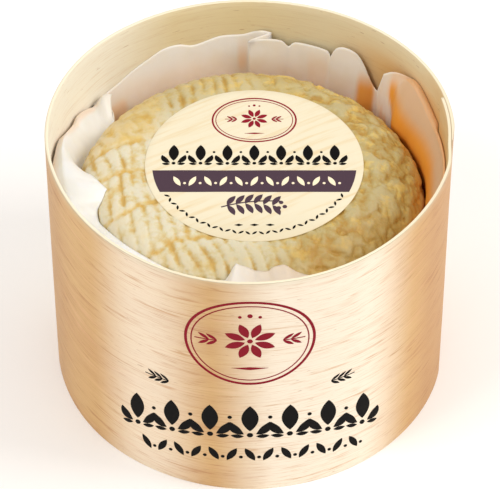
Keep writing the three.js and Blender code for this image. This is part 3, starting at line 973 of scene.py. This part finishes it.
def labelFinish():
    look = label
    material = startMaterial("labelFinish", look["shader"])
    place = placeOf()
    rotation = (0, 0, math.radians(look["grainTurn"]))
    turned = addNode("Mapping", {"Vector": place, "Rotation": rotation}).outputs[0]
    grain = noiseOf(stretched(turned, (60, 900, 60)), 1.0, 3.0, 0.6)
    colour = blend(spread(grain, 0.45, 0.75, 0.0, 0.8), look["colour"], look["grain"])
    # painted shade: a little darker towards the front
    ahead = spread(partsOf(place)[1], *look["frontShadeSpan"], 0.0, look["frontShadeShare"])
    colour = blend(ahead, colour, look["frontShade"])
    join(colour, work["sockets"]["Base Color"])
    return material


def buildLabel(material):
    rings, sides, thick = label["rings"], label["sides"], label["thickness"]
    width, worn = label["edge"]
    radii = np.array([*np.linspace(3, labelRadius - width, rings), labelRadius, labelRadius])
    drop = np.array([0.0] * rings + [worn, thick])
    angle = np.linspace(0, 360, sides, endpoint=False)[:, None]
    flat = around(angle, radii[None, :], 0.0)
    x = flat[..., 0] + labelCentre[0]
    y = flat[..., 1] + labelCentre[1]
    points = np.stack([x, y, labelHeight(x, y) - drop[None, :]], axis=-1)
    top = labelHeight(*labelCentre[:2])
    ends = [(*labelCentre[:2], top), (*labelCentre[:2], top - thick)]
    allPoints = np.concatenate([points.reshape(-1, 3), ends])
    faces = flipped(turnedFaces(*points.shape[:2]))
    addPiece(makePiece("labelDisc", allPoints, faces, material), "label_paper", "label")


# Prints: thin closed films. A shape is a grid of points on the flat, across and up.

def patch(first, second):
    gap = np.max(np.linalg.norm(first - second, axis=-1))
    share = np.linspace(0, 1, max(2, int(gap / 1.1) + 2))[None, :, None]
    return first[:, None] + (second - first)[:, None] * share


# The point at a distance from x, y in the direction of turn
def stepFrom(x, y, distance, turn):
    a = math.radians(turn)
    return x + distance * math.cos(a), y + distance * math.sin(a)


# Places of a row of things about its middle
def evenly(count, pitch):
    return [(i - (count - 1) / 2) * pitch for i in range(count)]


# A leaf, dot, lozenge or bar along a line that may bend
def blade(x, y, turn, length, width, kind="leaf", bend=0.0):
    steps = max(6, int(length / 0.45))
    t = np.linspace(0, 1, steps + 1)
    half = {
        "leaf": np.sin(np.pi * t) ** 0.8,
        "round": np.sqrt(np.maximum(0, 1 - (2 * t - 1) ** 2)),
        "lozenge": 1 - np.abs(2 * t - 1),
        "bar": np.ones_like(t),
    }[kind] * width / 2
    heading = np.radians(turn + bend * (t - 0.5))
    ahead = np.stack([np.cos(heading), np.sin(heading)], axis=-1) * length / steps
    walked = np.cumsum((ahead[1:] + ahead[:-1]) / 2, axis=0)
    centre = np.array([x, y]) + np.concatenate([[[0, 0]], walked])
    aside = np.stack([-np.sin(heading), np.cos(heading)], axis=-1) * np.maximum(half, 0.02)[:, None]
    return patch(centre + aside, centre - aside)


def dot(x, y, size):
    return blade(x - size / 2, y, 0, size, size, "round")


def oval(x, y, halfWidth, halfHeight, line):
    a = np.radians(np.linspace(0, 360, 90))
    ring = np.stack([np.cos(a), np.sin(a)], axis=-1)
    half = np.array([halfWidth, halfHeight])
    return patch(np.array([x, y]) + ring * half, np.array([x, y]) + ring * (half - line))


def rosette(x, y, size):
    petals = 8
    shapes = [dot(x, y, 0.22 * size)]
    for i in range(petals):
        turn = 360 / petals * (i + 0.5)
        shapes.append(blade(*stepFrom(x, y, 0.2 * size, turn), turn, 0.78 * size, 0.34 * size))
    return shapes


# A tall leaf between two pairs of smaller ones, on a dot
def palmette(x, y, size):
    foot = y - size / 2
    shapes = [blade(x, foot + 0.2 * size, 90, 0.8 * size, 0.36 * size)]
    shapes.append(dot(x, foot + 0.07 * size, 0.14 * size))
    for side in (1, -1):
        for up, lean, length, width, bend in ((0.1, 36, 0.5, 0.21, 56), (0.03, 84, 0.28, 0.12, 20)):
            at = (x + side * 0.13 * size, foot + up * size)
            shapes.append(blade(*at, 90 - side * lean, length * size, width * size, bend=side * bend))
    return shapes


def garland(x, y, side, count, size):
    pitch = size * 0.62
    shapes = []
    for i in range(count):
        for lift in (1, -1):
            turn = 90 - side * (90 - lift * 34)
            shapes.append(blade(x + side * i * pitch, y + lift * 0.05 * size, turn, size, 0.3 * size))
    shapes.append(blade(x, y, 90 - side * 90, count * pitch + size * 0.5, 0.1 * size, "bar"))
    return shapes


def badge(x, y, halfWidth, halfHeight, line):
    size = halfHeight
    shapes = [
        oval(x, y, halfWidth, halfHeight, line),
        oval(x, y, halfWidth - 2.2 * line, halfHeight - 2.2 * line, line * 0.45),
        *rosette(x, y + 0.06 * size, 0.44 * size),
        blade(x - 0.3 * size, y - 0.6 * size, 0, 0.6 * size, 0.07 * size, "lozenge"),
        dot(x, y + 0.66 * size, 0.09 * size),
    ]
    for side in (1, -1):
        shapes += garland(x + side * 0.53 * size, y + 0.04 * size, side, 2, 0.21 * size)
        shapes.append(dot(x + side * 0.16 * size, y + 0.63 * size, 0.06 * size))
    return shapes


def frieze(count, pitch, y, size):
    shapes = []
    for i, x in enumerate(evenly(count, pitch)):
        shapes += palmette(x, y, size)
        if i:
            shapes.append(dot(x - pitch / 2, y + 0.14 * size, 0.1 * size))
    return shapes


def fineRow(count, pitch, y, size):
    shapes = []
    for i, x in enumerate(evenly(count, pitch)):
        lean = 62 if i % 2 else 118
        start = x - 0.5 * size * math.cos(math.radians(lean))
        shapes.append(blade(start, y - 0.45 * size, lean, size, 0.36 * size))
        shapes.append(dot(x + pitch / 2, y - 0.2 * size, 0.2 * size))
    return shapes


# Lets a row sink towards its ends
def arched(shapes, drop):
    return [grid - np.stack([grid[..., 0] * 0, drop * grid[..., 0] ** 2], axis=-1) for grid in shapes]


def sprig(x, y, size):
    shapes = [blade(x - size, y - 0.12 * size, 8, 2 * size, 0.05 * size, "bar", bend=-26)]
    for i in range(6):
        at = x - 0.8 * size + i * 0.3 * size
        rise = y + 0.06 * size - 0.1 * size * abs(i - 2.5) / 2.5
        for turn in (58, -62):
            shapes.append(blade(at, rise, turn, 0.52 * size, 0.2 * size, bend=-24))
    for dx, dy in ((0.98, 0.1), (1.1, -0.1), (0.9, -0.16)):
        shapes.append(dot(x + dx * size, y + dy * size, 0.16 * size))
    return shapes


def onWall(u, z, offset):
    angle = -90 + np.degrees(u / boxRadius)
    return around(angle, wallFace(angle, z) + offset, z)


def onLabel(x, y, offset):
    x, y = labelCentre[0] + x, labelCentre[1] + y
    return np.stack([x, y, labelHeight(x, y) + offset], axis=-1)


prints = {
    "red": (140, 22, 40), "black": (8, 6, 6),
    "plum": (76, 58, 70), "cream": (247, 233, 203),
    "shader": {"Roughness": 0.7, "Specular IOR Level": 0.12},
    # underside and top of a film; the second kind lies on the first
    "first": (-0.02, 0.03),
    "second": (0.02, 0.05),
    "wallBadge": (0, 45.8, 13.3, 12.4, 0.6),
    "wallFrieze": (7, 8.3, 21.8, 9.8),
    "wallFriezeDrop": 0.0066,
    "wallRow": (13, 3.8, 11.4, 4.4),
    "wallRowDrop": 0.0053,
    "wallTwigs": (17, 30.6, 3, 2.3),
    "labelBadge": (0, 13.3, 9, 6.9, 0.36),
    "labelFrieze": (7, 5.6, 2.6, 5.9),
    "labelBand": (-2.1, -8.5, 1.5),
    "labelBandRow": (11, 3.2, 3.1),
    "labelSprig": (-0.6, -12.2, 6.2),
    "labelRound": (20.4, -152, -28, 33),  # radius, first and last angle, count
    "labelLeaf": (1.3, 0.5),
    "labelLozenges": (3, 3.2, -18.1, 1.8, 0.7),
}


def addFilm(name, shapes, place, heights, ink, slot):
    points, faces = [], []
    low, high = heights
    start = 0
    for grid in shapes:
        points += [place(grid[..., 0], grid[..., 1], z).reshape(-1, 3) for z in (high, low)]
        columns, rows = grid.shape[:2]
        faces += sheetFaces(columns, rows, False, start)
        start += 2 * columns * rows
    settings = {"Base Color": shade(prints[ink]), **prints["shader"]}
    material = startMaterial(name + "Ink", settings)
    piece = makePiece(name, np.concatenate(points), faces, material, smooth=False)
    addPiece(piece, slot)


def bandShape():
    top, bottom, margin = prints["labelBand"]
    y = np.linspace(top, bottom, 9)
    half = np.sqrt((labelRadius - margin) ** 2 - y ** 2)
    left = np.stack([-half, y], axis=-1)
    return patch(left, left * [-1, 1])


def wallOrnament():
    shapes = arched(frieze(*prints["wallFrieze"]), prints["wallFriezeDrop"])
    shapes += arched(fineRow(*prints["wallRow"]), prints["wallRowDrop"])
    x, y, count, size = prints["wallTwigs"]
    for side in (1, -1):
        shapes += garland(side * x, y, side, count, size)
    return shapes


def labelOrnament():
    shapes = frieze(*prints["labelFrieze"])
    radius, first, last, count = prints["labelRound"]
    length, width = prints["labelLeaf"]
    for i, a in enumerate(np.linspace(first, last, count)):
        turn = a + (50 if i % 2 else 130)
        start = stepFrom(*stepFrom(0, 0, radius, a), -0.6, turn)
        shapes.append(blade(*start, turn, length, width))
    count, pitch, y, length, width = prints["labelLozenges"]
    for x in evenly(count, pitch):
        shapes.append(blade(x - length / 2, y, 0, length, width, "lozenge"))
    return shapes


def buildPrints():
    first, second = prints["first"], prints["second"]
    addFilm("wallPrintRed", badge(*prints["wallBadge"]), onWall, first, "red", "box_wood")
    addFilm("wallPrintBlack", wallOrnament(), onWall, first, "black", "box_wood")
    addFilm("labelPrintRed", badge(*prints["labelBadge"]), onLabel, first, "red", "label_paper")
    addFilm("labelPrintBlack", labelOrnament(), onLabel, first, "black", "label_paper")
    plum = [bandShape(), *sprig(*prints["labelSprig"])]
    addFilm("labelPrintPlum", plum, onLabel, first, "plum", "label_paper")
    top, bottom, _ = prints["labelBand"]
    count, pitch, size = prints["labelBandRow"]
    row = fineRow(count, pitch, (top + bottom) / 2, size)
    addFilm("labelPrintCream", row, onLabel, second, "cream", "label_paper")


addCamera()
addStage()
print("camera, floor and lights are in place")
veneerMaterial = veneerFinish()
buildWall(veneerMaterial)
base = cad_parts["box_base"]
base.data.materials.clear()
base.data.materials.append(veneerMaterial)
print("box wall and base done")
buildCheese(cheeseFinish())
print("cheese done")
buildPaper(paperFinish())
print("paper done")
buildLabel(labelFinish())
print("label done")
buildPrints()
print("prints done")
